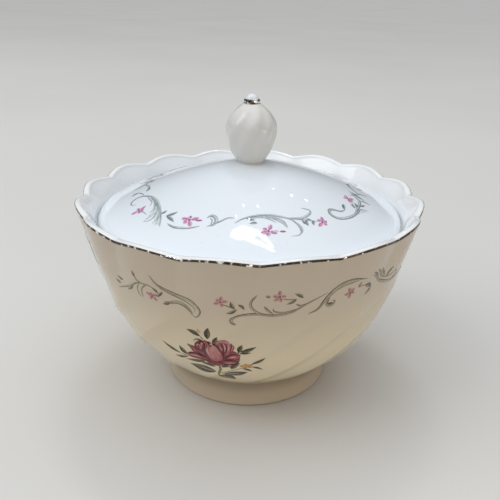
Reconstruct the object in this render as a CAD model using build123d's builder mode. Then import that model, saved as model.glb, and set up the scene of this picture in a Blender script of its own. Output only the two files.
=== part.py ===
from build123d import *
import math
import os

# Lidded porcelain sugar bowl: millimetres, +Z up, origin on the table under the middle of the foot.

# ---- Driving dimensions ----
lip_radius = 57.0          # mean radius of the lip's outer edge
lip_height = 66.3          # mean height of the lip above the table
foot_height = 9.3          # height of the foot ring
foot_radius = 29.5         # outer radius of the foot ring
foot_width = 3.6           # width of the foot ring
foot_waist = 0.5           # how far the middle of the foot curves in
lip_wall = 1.8             # wall at the lip
lid_gap = 0.45             # play round the lid's edge
flare_power = 1.6          # above 1, the wall inside the lip starts steep at the lid and flares towards the lip
body_wall = 3.2            # wall from the flutes' mean surface to the sugar space
floor_thickness = 3.5
band_height = 0.8          # platinum line on the lip

# ---- Flutes and scallops ----
flutes = 16
notch_angle = 3.6          # degrees from +X to one of the lip's notches
lobe_depth = 0.5           # half the scallops' depth in the radius
lobe_rise = 0.68           # half the scallops' rise in the height
lobe_power = 1.15          # below 2, the notches are sharper than the lobes
inner_depth = 0.7          # part of the scallops' depth that shows inside the lip
step_depth = 0.34          # half the depth of the lapped step between flutes
step_width = 0.36          # part of a flute that the step takes
step_power = 1.5           # how hollow a flute is
swirl_start = 44.5         # height below which the flutes turn
swirl_rate = 1.2           # degrees per mm below that height
swirl_soft = 2.2           # mm over which the turn sets in
upper_lean = 0.22          # degrees per mm above that height
points_per_flute = 10

# ---- Bowl profile: radius(height) = steep belly + straight flare ----
base_radius = 29.0         # where the wall leaves the foot
belly_share = 0.53
belly_power = 4.8

# ---- Lid ----
seat_height = 58.7         # top of the ledge inside the bowl
ledge_radius = 46.9        # inner radius of the ledge
ledge_thickness = 1.7
ledge_slope_height = 3.8   # height of the slope under the ledge
lid_radius = 50.7
lid_edge = 2.2             # height of the lid's edge
lid_thickness = 2.3
dome_top = 77.1
dome_crown = 1.5           # how far the dome bulges above a straight cone
boss_radius = 5.0          # flat on top of the dome that carries the finial
flange_outer = 46.4
flange_inner = 44.0
flange_depth = 5.2

# ---- Finial ----
bud_top = 96.2
bud_facets = 8
facet_depth = 0.22
facet_twist = 75.0         # degrees that the facets turn over the bud
bead_radius = 2.35
bead_top = 99.3
bead_neck = 1.4
bead_band_height = 1.5
bead_band_radius = 2.6

top_clear = lip_height + 1.4   # sections end above the lip and are trimmed to the scallops


def smooth(x):
    """Ease from 0 to 1 as x goes from 0 to 1."""
    x = min(max(x, 0.0), 1.0)
    return x * x * (3 - 2 * x)


def wall_radius(z):
    """Mean outer radius of the bowl at a height."""
    t = (z - foot_height) / (lip_height - foot_height)
    belly = 1 - max(1 - t, 0.0) ** belly_power
    return base_radius + (lip_radius - base_radius) * (belly_share * belly + (1 - belly_share) * t)


def swirl(z):
    """Degrees that the flutes have turned at a height, negative below the lip."""
    turn = swirl_soft * math.log(1 + math.exp((swirl_start - z) / swirl_soft))
    return -(upper_lean * max(lip_height - z, 0.0) + swirl_rate * turn)


def lobe(u):
    """Scallop wave across one flute: -1 at the notches and +1 in the middle."""
    return 2 * abs(math.sin(math.pi * u)) ** lobe_power - 1


def lapped(u):
    """Lapped wave across one flute: a step in from the ridge, then a hollow rise to the next one."""
    if u < step_width:
        return 1 - 2 * math.sin(math.pi / 2 * u / step_width)
    return -1 + 2 * ((u - step_width) / (1 - step_width)) ** step_power


def flute_offset(u, z):
    """How far the outer surface stands out from its mean radius."""
    lower = smooth((lip_height - 8 - z) / 18)
    fade = smooth((z - foot_height) / 10)
    return (1 - lower) * lobe_depth * lobe(u) + lower * fade * step_depth * lapped(u)


def recess_radius(z):
    """Mean radius inside the lip: close round the lid's edge, then flaring out to the lip."""
    close = lid_radius + lid_gap
    share = (z - seat_height) / (lip_height - seat_height)
    return close + (lip_radius - lip_wall - close) * share ** flare_power


def fluted_ring(z, mean_radius, depth=1.0):
    """Points round the wall at a height, following the flutes."""
    points = []
    middle = points_per_flute // 2
    for i in range(middle, middle + flutes * points_per_flute):
        u = (i % points_per_flute) / points_per_flute
        angle = math.radians(notch_angle + swirl(z) + 360 * i / (flutes * points_per_flute))
        r = mean_radius + depth * flute_offset(u, z)
        points.append((r * math.cos(angle), r * math.sin(angle)))
    return points


def lip_trim(drop):
    """Blocks that trim the lip to one low arch per flute, lowered by drop."""
    half_chord = lip_radius * math.tan(math.pi / flutes)
    crest = lip_height + lobe_rise - drop
    notch = lip_height - lobe_rise - drop
    with BuildPart() as trim:
        with BuildSketch(Plane.YZ.offset(lip_radius - 12)):
            with BuildLine():
                ThreePointArc((-half_chord, notch), (0, crest), (half_chord, notch))
                Polyline((half_chord, notch), (half_chord, crest + 6), (-half_chord, crest + 6), (-half_chord, notch))
            make_face()
        extrude(amount=18)
    first = notch_angle + 180 / flutes
    return [trim.part.rotate(Axis.Z, first + 360 * i / flutes) for i in range(flutes)]


os.makedirs("parts", exist_ok=True)

# ---- Bowl with its lip, before the platinum line is parted from it ----
outer_heights = [foot_height, 12.0, 16.0, 21.0, 27.0, 34.0, 42.0, 50.0, 58.0, top_clear]
recess_heights = [seat_height, seat_height + 2.3, seat_height + 4.8, lip_height, top_clear + 0.5]
floor_height = foot_height + floor_thickness
cavity_heights = [floor_height + 1.5, 17.0, 22.0, 28.0, 35.0, 43.0, seat_height - ledge_thickness - ledge_slope_height]

with BuildPart() as bowl_blank:
    for z in outer_heights:
        with BuildSketch(Plane.XY.offset(z)):
            with BuildLine():
                Spline(*fluted_ring(z, wall_radius(z)), periodic=True)
            make_face()
    loft()
    # Space above the ledge, where the lid sits
    for z in recess_heights:
        depth = inner_depth * smooth((z - seat_height - 1.5) / 5)
        with BuildSketch(Plane.XY.offset(z)):
            with BuildLine():
                Spline(*fluted_ring(z, recess_radius(z), depth), periodic=True)
            make_face()
    loft(mode=Mode.SUBTRACT)
    # Sugar space below the ledge
    with BuildSketch(Plane.XZ):
        with BuildLine():
            side = [(wall_radius(z) - body_wall, z) for z in cavity_heights]
            floor_edge = (side[0][0] - 4.5, floor_height)
            Line((0, floor_height), floor_edge)
            Spline(floor_edge, *side)
            Polyline(side[-1], (ledge_radius, seat_height - ledge_thickness), (ledge_radius, seat_height + 1),
                     (0, seat_height + 1), (0, floor_height))
        make_face()
    revolve(axis=Axis.Z, mode=Mode.SUBTRACT)
    add(lip_trim(0), mode=Mode.SUBTRACT)

with BuildPart() as band_zone:
    add(lip_trim(band_height))

# ---- Bowl: wall, floor and the ledge for the lid ----
with BuildPart() as bowl_body:
    add(bowl_blank.part)
    add(band_zone.part, mode=Mode.SUBTRACT)
bowl_body.part.label = "bowl_body"
export_step(bowl_body.part, "parts/bowl_body.step")

# ---- Platinum line on the lip ----
with BuildPart() as rim_band:
    add(bowl_blank.part)
    add(band_zone.part, mode=Mode.INTERSECT)
rim_band.part.label = "rim_band"
export_step(rim_band.part, "parts/rim_band.step")

# ---- Foot ring ----
foot_inner = foot_radius - foot_width
with BuildPart() as foot_ring:
    with BuildSketch(Plane.XZ):
        with BuildLine():
            Polyline((base_radius, foot_height), (foot_inner, foot_height), (foot_inner + 0.6, 0.8),
                     (foot_inner + 1.2, 0), (foot_radius - 1.0, 0))
            ThreePointArc((foot_radius - 1.0, 0), (foot_radius - 0.3, 0.3), (foot_radius, 1.0))
            Spline((foot_radius, 1.0), (foot_radius - foot_waist, foot_height * 0.5), (base_radius, foot_height))
        make_face()
    revolve(axis=Axis.Z)
foot_ring.part.label = "foot_ring"
export_step(foot_ring.part, "parts/foot_ring.step")

# ---- Lid dome ----
lid_edge_top = seat_height + lid_edge
dome_middle = ((boss_radius + lid_radius) / 2, (dome_top + lid_edge_top) / 2 + dome_crown)
under_top = dome_top - lid_thickness
under_edge = seat_height + 1.8
under_middle = ((boss_radius + flange_inner) / 2, (under_top + under_edge) / 2 + dome_crown)
with BuildPart() as lid_dome:
    with BuildSketch(Plane.XZ):
        with BuildLine():
            Line((0, dome_top), (boss_radius, dome_top))
            Spline((boss_radius, dome_top), dome_middle, (lid_radius, lid_edge_top))
            Polyline((lid_radius, lid_edge_top), (lid_radius, seat_height + 0.5), (lid_radius - 0.5, seat_height),
                     (flange_inner, seat_height), (flange_inner, under_edge))
            Spline((flange_inner, under_edge), under_middle, (boss_radius, under_top))
            Polyline((boss_radius, under_top), (0, under_top), (0, dome_top))
        make_face()
    revolve(axis=Axis.Z)
lid_dome.part.label = "lid_dome"
export_step(lid_dome.part, "parts/lid_dome.step")

# ---- Locating flange under the lid ----
with BuildPart() as lid_flange:
    with BuildSketch(Plane.XY.offset(seat_height - flange_depth)):
        Circle(flange_outer)
        Circle(flange_inner, mode=Mode.SUBTRACT)
    extrude(amount=flange_depth)
    chamfer(lid_flange.edges().group_by(Axis.Z)[0], 0.5)
lid_flange.part.label = "lid_flange"
export_step(lid_flange.part, "parts/lid_flange.step")

# ---- Bud finial: height and radius of its sections ----
bud_sections = [
    (dome_top, 4.0),
    (dome_top + 1.4, 5.0),
    (dome_top + 2.9, 6.15),
    (dome_top + 5.2, 7.25),
    (dome_top + 7.6, 7.85),
    (dome_top + 9.9, 8.2),
    (dome_top + 11.9, 8.25),
    (dome_top + 13.4, 7.85),
    (dome_top + 14.7, 7.15),
    (dome_top + 16.1, 6.1),
    (dome_top + 17.5, 4.8),
    (dome_top + 18.5, 3.6),
    (bud_top, 2.9),
]
bud_points = bud_facets * 6
with BuildPart() as finial_bud:
    for z, r in bud_sections:
        part_way = (z - dome_top) / (bud_top - dome_top)
        depth = facet_depth * math.sin(math.pi * part_way)
        ring = []
        for i in range(bud_points):
            angle = math.radians(facet_twist * part_way + 360 * i / bud_points)
            wave = r + depth * math.cos(2 * math.pi * i * bud_facets / bud_points)
            ring.append((wave * math.cos(angle), wave * math.sin(angle)))
        with BuildSketch(Plane.XY.offset(z)):
            with BuildLine():
                Spline(*ring, periodic=True)
            make_face()
    loft()
finial_bud.part.label = "finial_bud"
export_step(finial_bud.part, "parts/finial_bud.step")

# ---- Bead on the tip of the bud ----
bead_middle = bead_top - bead_radius
bead_band_top = bud_top + bead_band_height
bead_slant = bead_radius * math.sin(math.pi / 4)
bead_foot = math.sqrt(bead_radius ** 2 - (bead_middle - bead_band_top) ** 2)
with BuildPart() as finial_bead:
    with BuildSketch(Plane.XZ):
        with BuildLine():
            Polyline((0, bead_top), (0, bud_top), (bead_neck, bud_top), (bead_neck, bead_band_top),
                     (bead_foot, bead_band_top))
            ThreePointArc((bead_foot, bead_band_top), (bead_slant, bead_middle + bead_slant), (0, bead_top))
        make_face()
    revolve(axis=Axis.Z)
finial_bead.part.label = "finial_bead"
export_step(finial_bead.part, "parts/finial_bead.step")

# ---- Platinum band round the bead ----
with BuildPart() as bead_band:
    with BuildSketch(Plane.XY.offset(bud_top)):
        Circle(bead_band_radius)
        Circle(bead_neck, mode=Mode.SUBTRACT)
    extrude(amount=bead_band_height)
bead_band.part.label = "bead_band"
export_step(bead_band.part, "parts/bead_band.step")
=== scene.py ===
import math

import bpy
import numpy as np
from mathutils import Matrix, Quaternion, Vector


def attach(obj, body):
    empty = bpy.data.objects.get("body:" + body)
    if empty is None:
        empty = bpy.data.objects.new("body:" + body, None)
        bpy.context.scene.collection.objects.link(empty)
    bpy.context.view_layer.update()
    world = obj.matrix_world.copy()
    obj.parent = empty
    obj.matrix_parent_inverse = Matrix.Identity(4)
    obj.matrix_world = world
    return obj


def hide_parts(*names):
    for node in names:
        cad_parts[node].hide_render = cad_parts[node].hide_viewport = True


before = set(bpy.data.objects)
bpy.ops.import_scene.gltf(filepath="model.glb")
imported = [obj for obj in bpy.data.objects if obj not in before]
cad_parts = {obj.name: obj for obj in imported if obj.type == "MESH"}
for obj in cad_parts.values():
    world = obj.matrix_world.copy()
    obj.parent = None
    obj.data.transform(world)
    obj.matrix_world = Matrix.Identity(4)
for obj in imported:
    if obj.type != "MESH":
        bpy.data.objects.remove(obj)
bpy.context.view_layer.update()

# A lidded porcelain sugar bowl. Shapes are worked out in millimetres in the frame of the CAD part,
# with +Z up and the origin on the table under the middle of the foot.
MM = 0.001

# ---- Bowl ----
LIP_RADIUS = 57.0
LIP_HEIGHT = 66.3
FOOT_HEIGHT = 9.3
FOOT_RADIUS = 29.5
FOOT_WIDTH = 3.6
FOOT_WAIST = 0.5
LIP_WALL = 1.8
FLARE_POWER = 1.6
BODY_WALL = 3.2
FLOOR_HEIGHT = 12.8
CAVITY_BOTTOM = 14.6       # where the wall inside starts to round into the floor
BASE_RADIUS = 29.0
BELLY_SHARE = 0.53
BELLY_POWER = 4.8

# ---- Flutes and scallops ----
FLUTES = 16
NOTCH_ANGLE = 3.6
LOBE_DEPTH = 0.5
LOBE_RISE = 0.68
LOBE_POWER = 1.15
INNER_DEPTH = 0.7
STEP_DEPTH = 0.34
STEP_WIDTH = 0.36
STEP_POWER = 1.5
SWIRL_START = 44.5
SWIRL_RATE = 1.2
SWIRL_SOFT = 2.2
UPPER_LEAN = 0.22
STEP_COLUMNS = 8
FLUTE_COLUMNS = 24

# ---- Lid ----
SEAT_HEIGHT = 58.7
LEDGE_RADIUS = 46.9
LEDGE_THICKNESS = 1.7
LEDGE_SLOPE = 3.8          # height of the slope under the ledge
SEAT_MIDDLE = 48.5         # radius at the middle of the ledge
LID_RADIUS = 50.7
LID_GAP = 0.45
LID_EDGE = 2.2
LID_THICKNESS = 2.3
DOME_TOP = 77.1
DOME_CROWN = 1.5
BOSS_RADIUS = 5.0
FLANGE_OUTER = 46.4
FLANGE_INNER = 44.0
FLANGE_DEPTH = 5.2

# ---- Finial ----
BUD_TOP = 96.2
BUD_FACETS = 8
FACET_DEPTH = 0.24
FACET_TWIST = 75.0
BEAD_RADIUS = 2.35
BEAD_TOP = 99.3
BEAD_BAND_RADIUS = 2.6
BEAD_BAND_HALF = 0.75


def smooth(x):
    """Ease from 0 to 1 as x goes from 0 to 1."""
    x = np.clip(x, 0.0, 1.0)
    return x * x * (3 - 2 * x)


def wall_radius(z):
    """Mean outer radius of the bowl at a height."""
    t = (z - FOOT_HEIGHT) / (LIP_HEIGHT - FOOT_HEIGHT)
    belly = 1 - np.maximum(1 - t, 0.0) ** BELLY_POWER
    return BASE_RADIUS + (LIP_RADIUS - BASE_RADIUS) * (BELLY_SHARE * belly + (1 - BELLY_SHARE) * t)


def swirl(z):
    """Degrees that the flutes have turned at a height, negative below the lip."""
    turn = SWIRL_SOFT * np.log1p(np.exp((SWIRL_START - z) / SWIRL_SOFT))
    return -(UPPER_LEAN * np.maximum(LIP_HEIGHT - z, 0.0) + SWIRL_RATE * turn)


def lobe(u):
    """Scallop wave across one flute: -1 at the notches and +1 in the middle."""
    return 2 * np.abs(np.sin(math.pi * u)) ** LOBE_POWER - 1


def lapped(u):
    """Lapped wave across one flute: a step in from the ridge, then a hollow rise to the next one."""
    fall = np.sin(math.pi / 2 * np.minimum(u / STEP_WIDTH, 1.0))
    rise = np.maximum(u - STEP_WIDTH, 0.0) / (1 - STEP_WIDTH)
    return np.where(u < STEP_WIDTH, 1 - 2 * fall, -1 + 2 * rise ** STEP_POWER)


def flute_offset(u, z):
    """How far the outer surface stands out from its mean radius."""
    lower = smooth((LIP_HEIGHT - 8 - z) / 18)
    fade = smooth((z - FOOT_HEIGHT) / 10)
    return (1 - lower) * LOBE_DEPTH * lobe(u) + lower * fade * STEP_DEPTH * lapped(u)


# ---- Mesh helpers ----

def new_object(name, data):
    obj = bpy.data.objects.new(name, data)
    bpy.context.scene.collection.objects.link(obj)
    return obj


def add_object(name, vertices, faces, body, materials, attributes=None):
    """A smooth-shaded mesh, given in millimetres, that moves with one body."""
    mesh = bpy.data.meshes.new(name)
    mesh.from_pydata((np.asarray(vertices) * MM).tolist(), [], faces)
    mesh.validate()
    mesh.shade_smooth()
    for key, values in (attributes or {}).items():
        layer = mesh.attributes.new(key, "FLOAT", "POINT")
        layer.data.foreach_set("value", np.asarray(values, np.float32))
    for material in materials:
        mesh.materials.append(material)
    obj = new_object(name, mesh)
    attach(obj, body)
    return obj


def stack(rings, closed=False):
    """Vertices and faces of a skin over rings. It is closed on itself, or by a middle point at each end."""
    rows = len(rings)
    columns = len(rings[0])
    points = np.concatenate(rings)
    faces = []
    for i in range(rows if closed else rows - 1):
        a = i * columns
        b = (i + 1) % rows * columns
        for j in range(columns):
            k = (j + 1) % columns
            faces.append((a + j, a + k, b + k, b + j))
    if closed:
        return points, faces
    points = np.vstack([points, rings[0].mean(axis=0), rings[-1].mean(axis=0)])
    middle = rows * columns
    last = middle - columns
    faces += [(middle, (j + 1) % columns, j) for j in range(columns)]
    faces += [(middle + 1, last + j, last + (j + 1) % columns) for j in range(columns)]
    return points, faces


def ring(radius, height, angles):
    """Points round the axis. Radius, height and angles in degrees may each vary round it."""
    turn = np.radians(angles)
    radius = np.broadcast_to(radius, turn.shape)
    height = np.broadcast_to(height, turn.shape)
    return np.column_stack([radius * np.cos(turn), radius * np.sin(turn), height])


def curve_through(points, count):
    """Evenly spaced points on a smooth curve through the given ones."""
    points = np.asarray(points, float)
    padded = np.vstack([2 * points[0] - points[1], points, 2 * points[-1] - points[-2]])
    dense = []
    steps = 16
    for i in range(1, len(padded) - 2):
        p0, p1, p2, p3 = padded[i - 1:i + 3]
        for k in range(steps):
            t = k / steps
            dense.append(0.5 * (2 * p1 + (p2 - p0) * t + (2 * p0 - 5 * p1 + 4 * p2 - p3) * t * t
                                + (3 * p1 - p0 - 3 * p2 + p3) * t ** 3))
    dense.append(points[-1])
    dense = np.array(dense)
    along = np.concatenate([[0], np.cumsum(np.linalg.norm(np.diff(dense, axis=0), axis=1))])
    wanted = np.linspace(0, along[-1], count)
    return np.column_stack([np.interp(wanted, along, dense[:, k]) for k in range(dense.shape[1])])


def revolved(profile, angles):
    """Rings of a turned shape from (radius, height) points."""
    return [ring(r, z, angles) for r, z in profile]


def arc(centre, radius, start, end, count):
    """(radius, height) points on an arc, angles in degrees from +radius towards +height."""
    turn = np.radians(np.linspace(start, end, count))
    return [(centre[0] + radius * math.cos(a), centre[1] + radius * math.sin(a)) for a in turn]


# ---- Materials ----

class Nodes:
    """Short calls for building the nodes of a material, or of the world."""

    def __init__(self, owner, shader="Principled BSDF", place="Object"):
        owner.use_nodes = True
        self.owner = owner
        self.tree = owner.node_tree
        self.shader = self.tree.nodes[shader]
        self.place = self.tree.nodes.new("ShaderNodeTexCoord").outputs[place]

    def feed(self, socket, value):
        """Links a socket to another node's output, or sets it to a number or a colour."""
        if isinstance(value, bpy.types.NodeSocket):
            self.tree.links.new(value, socket)
        else:
            socket.default_value = value

    def set(self, node=None, **values):
        """Feeds a node's sockets by name. Without a node they are the shader's."""
        for name, value in values.items():
            self.feed((node or self.shader).inputs[name.replace("_", " ")], value)

    def add(self, kind, **values):
        node = self.tree.nodes.new("ShaderNode" + kind)
        self.set(node, **values)
        return node

    def noise(self, scale, detail=2.0, roughness=0.5):
        node = self.add("TexNoise", Vector=self.place, Scale=scale, Detail=detail, Roughness=roughness)
        return node.outputs["Fac"]

    def attribute(self, name):
        node = self.add("Attribute")
        node.attribute_name = name
        return node.outputs["Fac"]

    def height(self):
        return self.add("SeparateXYZ", Vector=self.place).outputs["Z"]

    def math(self, operation, a, b):
        """A sum or power of two values, kept between 0 and 1."""
        node = self.add("Math")
        node.operation = operation
        node.use_clamp = True
        self.feed(node.inputs[0], a)
        self.feed(node.inputs[1], b)
        return node.outputs[0]

    def ramp(self, factor, stops):
        node = self.add("ValToRGB", Fac=factor)
        ramp = node.color_ramp
        while len(ramp.elements) < len(stops):
            ramp.elements.new(1.0)
        for element, (position, colour) in zip(ramp.elements, stops):
            element.position = position
            element.color = (*colour, 1.0)
        return node.outputs["Color"]

    def span(self, value, low, high, to_low, to_high):
        node = self.add("MapRange", Value=value, From_Min=low, From_Max=high, To_Min=to_low, To_Max=to_high)
        return node.outputs["Result"]

    def mix(self, factor, a, b, blend="MIX"):
        node = self.add("Mix")
        node.data_type = "RGBA"
        node.blend_type = blend
        self.feed(node.inputs[0], factor)
        for socket, value in ((node.inputs[6], a), (node.inputs[7], b)):
            self.feed(socket, (*value, 1.0) if isinstance(value, tuple) else value)
        return node.outputs[2]

    def bump(self, height, strength, distance):
        return self.add("Bump", Height=height, Strength=strength, Distance=distance)


def glaze(n, bump_strength=0.3):
    """The gloss of a clear glaze: nearly smooth, with slow waves and faint orange peel."""
    waves = n.bump(n.noise(55.0), bump_strength, 0.0001)
    peel = n.bump(n.noise(420.0), bump_strength, 0.000012)
    n.set(peel, Normal=waves.outputs[0])
    n.set(Roughness=n.span(n.noise(38.0, 3.0), 0.3, 0.7, 0.035, 0.055), Normal=peel.outputs[0])
    n.set(IOR=1.5, Coat_Weight=0.15, Coat_Roughness=0.03, Coat_IOR=1.5)
    n.set(Subsurface_Weight=0.12, Subsurface_Scale=0.0012, Subsurface_Radius=(1.0, 0.8, 0.6))


def make_porcelain(name, inside, wall_tints_and_shade=None):
    """Glazed porcelain with faint specks. The outer wall's tint and its painted shade change with its height
    in mm.
    """
    n = Nodes(bpy.data.materials.new(name))
    drift = n.noise(22.0, 3.0)
    base = n.mix(drift, tuple(0.97 * c for c in inside), inside)
    if wall_tints_and_shade:
        # painted shade: the outer wall's colour darkens at the foot, at its crease and towards the lip
        level = n.span(n.height(), 0.0, LIP_HEIGHT * MM, 0.0, 1.0)
        wall = n.ramp(level, [(z / LIP_HEIGHT, tint) for z, tint in wall_tints_and_shade])
        wall = n.mix(drift, wall, n.mix(1.0, wall, (0.94, 0.95, 0.96), "MULTIPLY"))
        base = n.mix(n.attribute("outside"), base, wall)
    specks = n.span(n.noise(1100.0, 0.0), 0.86, 0.89, 0.0, 0.25)
    base = n.mix(specks, base, (0.35, 0.28, 0.2))
    n.set(Base_Color=base)
    glaze(n)
    return n.owner


def make_platinum(name, scale, bright):
    """Thin brushed-on fired platinum. Its near-black colour is a painted reflection of a dark room, and small
    patches of near-white colour are painted glints.
    """
    n = Nodes(bpy.data.materials.new(name))
    painted_glint_noise = n.noise(scale, 3.0, 0.55)
    # painted reflection and painted glints: near-black where the metal would mirror a dark room, near-white
    # glints above the bright threshold
    colour = n.ramp(painted_glint_noise, [(bright - 0.3, (0.028, 0.02, 0.015)), (bright - 0.04, (0.11, 0.085, 0.065)),
                              (bright, (0.95, 0.93, 0.90))])
    n.set(Base_Color=colour, Metallic=1.0, Roughness=n.span(painted_glint_noise, 0.3, 0.7, 0.24, 0.12))
    n.set(Normal=n.bump(n.noise(700.0), 0.3, 0.00003).outputs[0])
    return n.owner


def make_print(name, stops, grain=0.3, shine=0.5):
    """Ceramic transfer colours fired into the glaze. The tone attribute runs from pale to dark."""
    n = Nodes(bpy.data.materials.new(name))
    mottle = n.span(n.noise(900.0, 3.0, 0.6), 0.3, 0.7, -0.5 * grain, 0.5 * grain)
    n.set(Base_Color=n.ramp(n.math("ADD", n.attribute("tone"), mottle), stops))
    glaze(n, 0.25)
    n.set(Subsurface_Weight=0.0, Specular_IOR_Level=shine)
    return n.owner


def make_bisque():
    """The bare, ground ring under the foot."""
    n = Nodes(bpy.data.materials.new("bare_foot"))
    grain = n.noise(1400.0, 4.0, 0.6)
    n.set(Base_Color=n.ramp(grain, [(0.3, (0.52, 0.46, 0.38)), (0.7, (0.74, 0.70, 0.63))]))
    n.set(Roughness=n.span(grain, 0.3, 0.7, 0.6, 0.9), Normal=n.bump(grain, 0.5, 0.00006).outputs[0])
    return n.owner


WALL_TINTS_AND_SHADE = [
    # painted shade on a warm ivory that is itself partly painted warm shade: the foot darkening up to a dark
    # band at its crease under the belly, the lighter belly, and the upper wall darkening towards the lip
    (0.0, (0.68, 0.57, 0.44)), (4.5, (0.62, 0.51, 0.38)), (7.0, (0.46, 0.37, 0.265)),
    (9.0, (0.36, 0.285, 0.20)), (9.5, (0.85, 0.735, 0.525)),
    (30.0, (0.82, 0.70, 0.495)), (50.0, (0.645, 0.54, 0.41)), (66.0, (0.60, 0.50, 0.385)),
]
bowl_porcelain = make_porcelain("bowl_porcelain", (0.895, 0.905, 0.912), WALL_TINTS_AND_SHADE)
# the lid is the same white porcelain as the bowl's inside; its darker, bluer white is painted shade and
# painted cool light
lid_porcelain = make_porcelain("lid_porcelain", (0.81, 0.855, 0.90))
# the finial is the lid's porcelain; its darker, warmer grey is painted shade
finial_porcelain = make_porcelain("finial_porcelain", (0.765, 0.75, 0.72))
line_platinum = make_platinum("platinum_line", 620.0, 0.615)
bead_platinum = make_platinum("platinum_bead", 800.0, 0.54)
bisque = make_bisque()
wall_scroll_print = make_print("scroll_olive", [
    (0.0, (0.57, 0.485, 0.34)), (0.45, (0.285, 0.24, 0.15)), (1.0, (0.07, 0.056, 0.03))])
lid_scroll_print = make_print("scroll_blue_grey", [
    (0.0, (0.70, 0.76, 0.775)), (0.4, (0.38, 0.435, 0.45)), (1.0, (0.13, 0.16, 0.17))])
wall_blossom_print = make_print("blossom_dusty_pink", [
    (0.0, (0.60, 0.38, 0.33)), (0.5, (0.42, 0.18, 0.175)), (1.0, (0.20, 0.05, 0.06))])
lid_blossom_print = make_print("blossom_magenta", [
    (0.0, (0.74, 0.47, 0.65)), (0.5, (0.53, 0.18, 0.38)), (1.0, (0.28, 0.05, 0.17))])
rose_print = make_print("rose_red", [
    (0.0, (0.66, 0.35, 0.325)), (0.35, (0.42, 0.13, 0.135)), (0.7, (0.20, 0.024, 0.034)),
    (1.0, (0.065, 0.005, 0.01))], grain=0.18, shine=0.3)
leaf_print = make_print("leaf_olive", [
    (0.0, (0.53, 0.46, 0.32)), (0.5, (0.20, 0.17, 0.095)), (1.0, (0.045, 0.037, 0.018))], shine=0.2)
ochre_print = make_print("ochre", [(0.0, (0.78, 0.52, 0.17)), (1.0, (0.44, 0.20, 0.03))], grain=0.5)


# ---- Bowl body: outer wall, scalloped lip, recess, ledge, sugar space and floor ----
step_share = np.arange(STEP_COLUMNS) / STEP_COLUMNS * STEP_WIDTH
rise_columns = FLUTE_COLUMNS - STEP_COLUMNS
rise_share = STEP_WIDTH + (1 - STEP_WIDTH) * np.arange(rise_columns) / rise_columns
one_flute = np.concatenate([step_share, rise_share])
column_u = np.tile(one_flute, FLUTES)
column_angle = NOTCH_ANGLE + (np.repeat(np.arange(FLUTES), FLUTE_COLUMNS) + column_u) * 360 / FLUTES

LIP_ROUND = 0.85           # height of the rounded part of the lip
lip_top = LIP_HEIGHT + LOBE_RISE * lobe(column_u)
lip_shoulder = lip_top - LIP_ROUND


def outer_ring(z):
    """Ring of points on the fluted outer wall. The height may vary round it."""
    return ring(wall_radius(z) + flute_offset(column_u, z), z, column_angle + swirl(z))


def recess_radius(z):
    """Radius inside the lip: close round the lid's edge, then flaring out to the scalloped lip."""
    close = LID_RADIUS + LID_GAP
    share = np.clip((z - SEAT_HEIGHT) / (LIP_HEIGHT - SEAT_HEIGHT), 0.0, 1.2)
    follow = INNER_DEPTH * smooth((z - SEAT_HEIGHT - 1.5) / 5)
    return close + (LIP_RADIUS - LIP_WALL - close) * share ** FLARE_POWER + follow * flute_offset(column_u, z)


def lip_ring(share):
    """Ring over the rounded lip: share 0 is the outer shoulder and 1 the inner one."""
    outer = wall_radius(lip_shoulder) + flute_offset(column_u, lip_shoulder)
    inner = recess_radius(lip_shoulder)
    across = math.cos(math.pi * share)
    squared = math.copysign(abs(across) ** 0.8, across)
    up = LIP_ROUND * math.sin(math.pi * share) ** 0.8
    radius = (outer + inner) / 2 + (outer - inner) / 2 * squared + 0.15 * up
    return ring(radius, lip_shoulder + up, column_angle + swirl(lip_shoulder))


bowl_rings = []
# the outer wall's tint that these shares bring in carries painted shade at the foot, its crease and the upper
# wall
outside = []               # each ring's share of the outer wall's tint


def add_ring(points, share=0.0):
    bowl_rings.append(points)
    outside.append(share)


# the underside within the foot, slightly hollow
UNDERSIDE_ROWS = 8
UNDERSIDE_RISE = 0.35      # how far its middle is hollow
HOLLOW_RADIUS = 25
for k in range(1, UNDERSIDE_ROWS + 1):
    r = BASE_RADIUS * k / UNDERSIDE_ROWS
    z = FOOT_HEIGHT + UNDERSIDE_RISE * max(1 - (r / HOLLOW_RADIUS) ** 2, 0)
    add_ring(ring(r, z, column_angle + swirl(FOOT_HEIGHT)), 0.6)
# the fluted wall and the lip
WALL_ROWS = 110
for k in range(1, WALL_ROWS + 1):
    add_ring(outer_ring(FOOT_HEIGHT + (lip_shoulder - FOOT_HEIGHT) * k / WALL_ROWS), 1.0)
LIP_ROWS = 12
for k in range(1, LIP_ROWS):
    add_ring(lip_ring(k / LIP_ROWS), 1.0 if k < 3 else 0.0)
# the recess, down to the ledge that the lid sits on
RECESS_ROWS = 12
SEAT_FILLET = 0.5
for k in range(RECESS_ROWS):
    z = lip_shoulder + (SEAT_HEIGHT + SEAT_FILLET - lip_shoulder) * k / (RECESS_ROWS - 1)
    add_ring(ring(recess_radius(z), z, column_angle + swirl(z)))
seat_wall = recess_radius(SEAT_HEIGHT + SEAT_FILLET)
seat_angle = column_angle + swirl(SEAT_HEIGHT)
for turn in np.radians([15, 30, 45, 60, 75, 90]):
    radius = seat_wall - SEAT_FILLET * (1 - math.cos(turn))
    add_ring(ring(radius, SEAT_HEIGHT + SEAT_FILLET * (1 - math.sin(turn)), seat_angle))
slope_top = SEAT_HEIGHT - LEDGE_THICKNESS
slope_bottom = slope_top - LEDGE_SLOPE
ledge = [(49.8, SEAT_HEIGHT), (SEAT_MIDDLE, SEAT_HEIGHT)]
ledge += arc((LEDGE_RADIUS + 0.6, SEAT_HEIGHT - 0.6), 0.6, 90, 180, 6)
ledge += arc((LEDGE_RADIUS + 0.5, slope_top + 0.3), 0.5, 180, 225, 4)
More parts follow.
